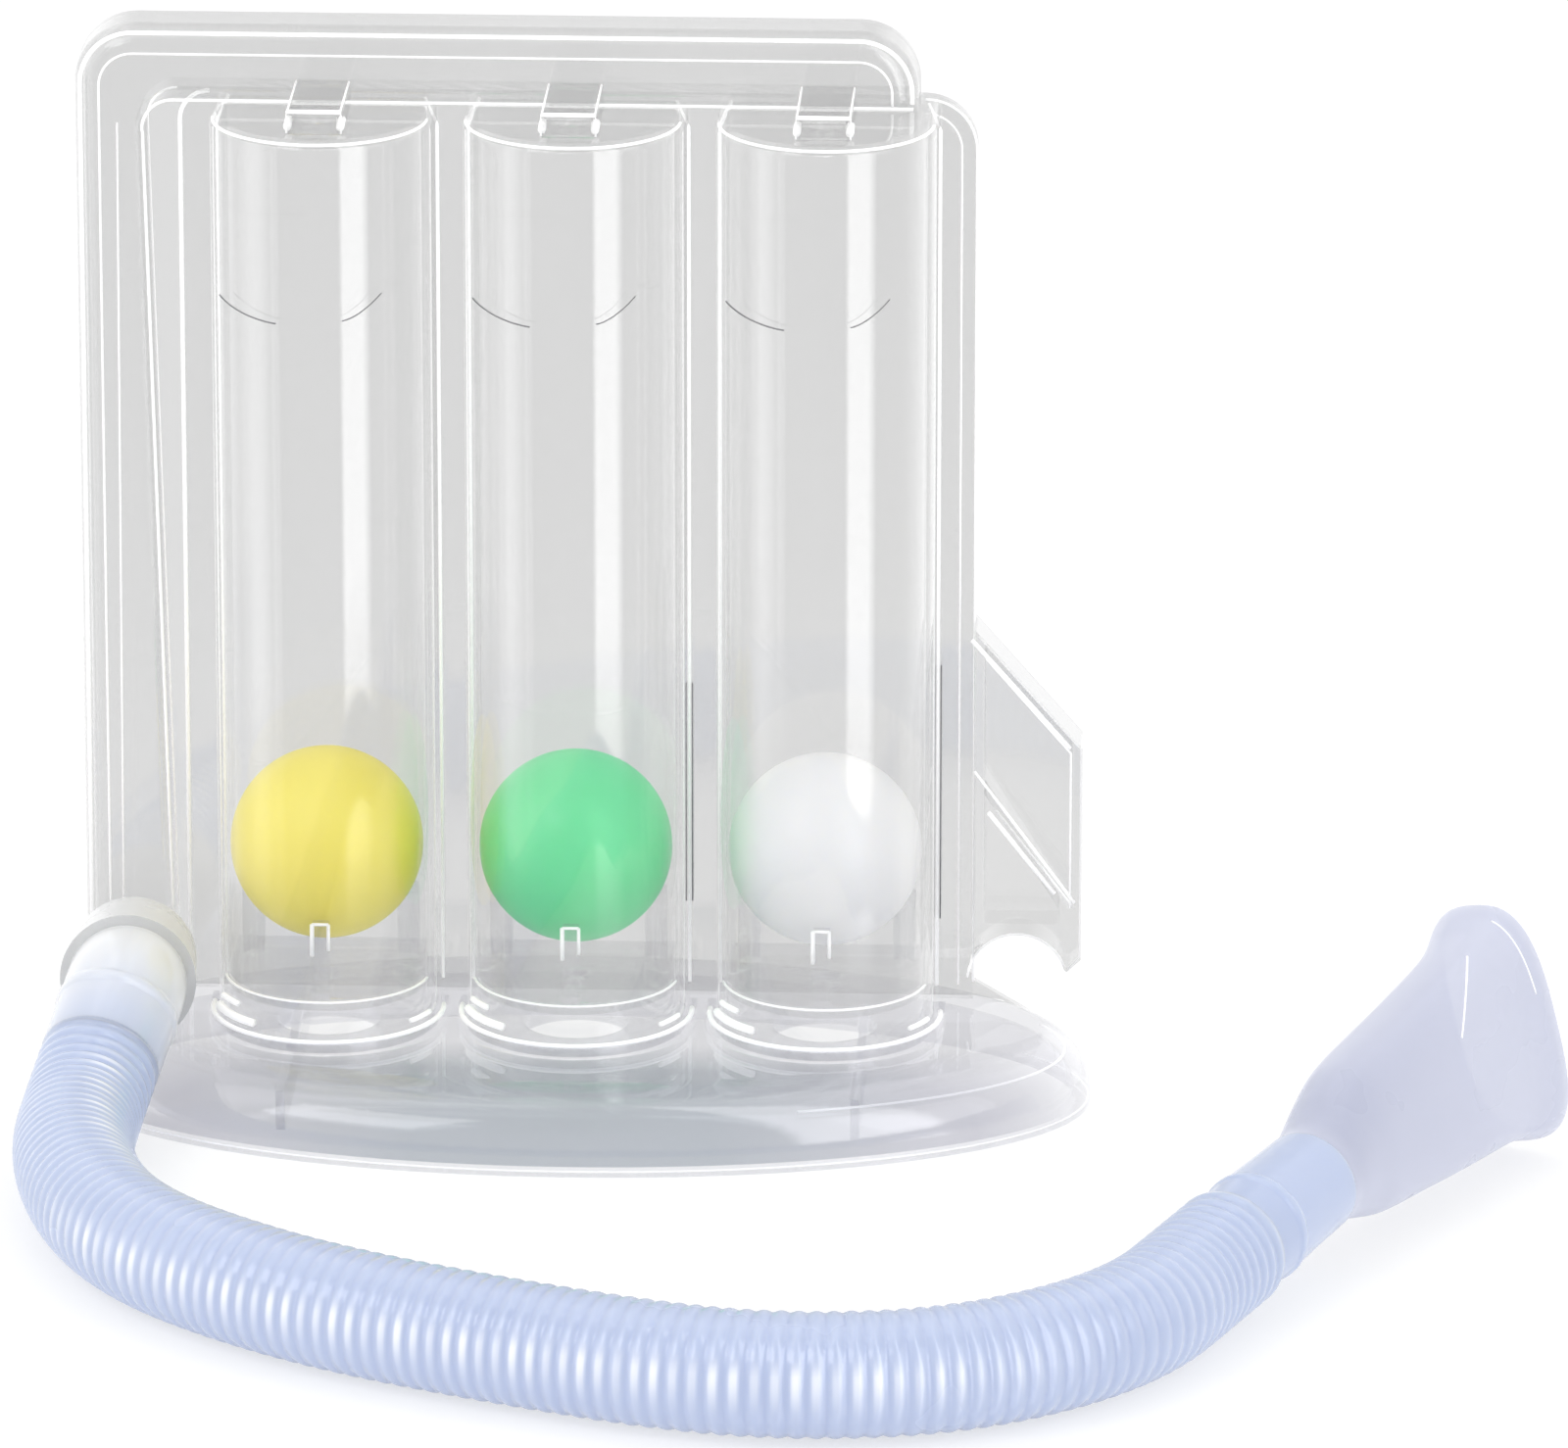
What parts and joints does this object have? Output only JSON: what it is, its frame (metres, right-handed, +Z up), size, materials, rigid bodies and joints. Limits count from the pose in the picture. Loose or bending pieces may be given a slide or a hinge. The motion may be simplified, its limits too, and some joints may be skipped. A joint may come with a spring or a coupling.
{
  "type": "incentive spirometer",
  "caption": "Clear desktop breathing trainer: balls rise in upright flow chambers on an oval foot as air is drawn through a corrugated hose and an oval mouthpiece.",
  "frame": {"origin": "centre of the foot's underside, on the table", "axes": "+Z up, +Y to the back, away from someone who faces the balls, +X to that person's right"},
  "size_m": [0.2049, 0.1731, 0.147],
  "materials": {
    "clear_body": "clear moulded plastic, glossy",
    "clear_foot": "clear moulded plastic with a faint lavender tint, glossy",
    "ball_yellow": "smooth, satin",
    "ball_green": "smooth, satin",
    "ball_white": "smooth, satin",
    "hose_blue": "translucent, glossy",
    "mouthpiece_clear": "frosted translucent plastic"
  },
  "bodies": {
    "stand": {"front_shell": "clear_body", "back_panel": "clear_body", "duct_shell": "clear_body", "outlet_hood_left": "clear_body", "outlet_hood_middle": "clear_body", "outlet_hood_right": "clear_body", "foot": "clear_foot", "inlet_disc_left": "clear_body", "inlet_disc_middle": "clear_body", "inlet_disc_right": "clear_body", "port_collar": "clear_body"},
    "ball_left": {"ball_left": "ball_yellow"},
    "ball_middle": {"ball_middle": "ball_green"},
    "ball_right": {"ball_right": "ball_white"},
    "hose_line": {"port_cuff": "hose_blue", "hose": "hose_blue", "mouth_cuff": "hose_blue"},
    "mouthpiece": {"mouthpiece": "mouthpiece_clear"}
  },
  "joints": [
    {"name": "ball_left_rise", "type": "slide", "parent": "stand", "child": "ball_left", "axis": [0, 0, 1], "range_m": [0, 0.086]},
    {"name": "ball_middle_rise", "type": "slide", "parent": "stand", "child": "ball_middle", "axis": [0, 0, 1], "range_m": [0, 0.086]},
    {"name": "ball_right_rise", "type": "slide", "parent": "stand", "child": "ball_right", "axis": [0, 0, 1], "range_m": [0, 0.086]},
    {"name": "hose_pull", "type": "slide", "parent": "stand", "child": "hose_line", "axis": [0, -1, 0], "range_m": [0, 0.02]},
    {"name": "mouthpiece_pull", "type": "slide", "parent": "hose_line", "child": "mouthpiece", "axis": [0.4669, 0.8763, 0.1184], "range_m": [0, 0.015]}
  ]
}
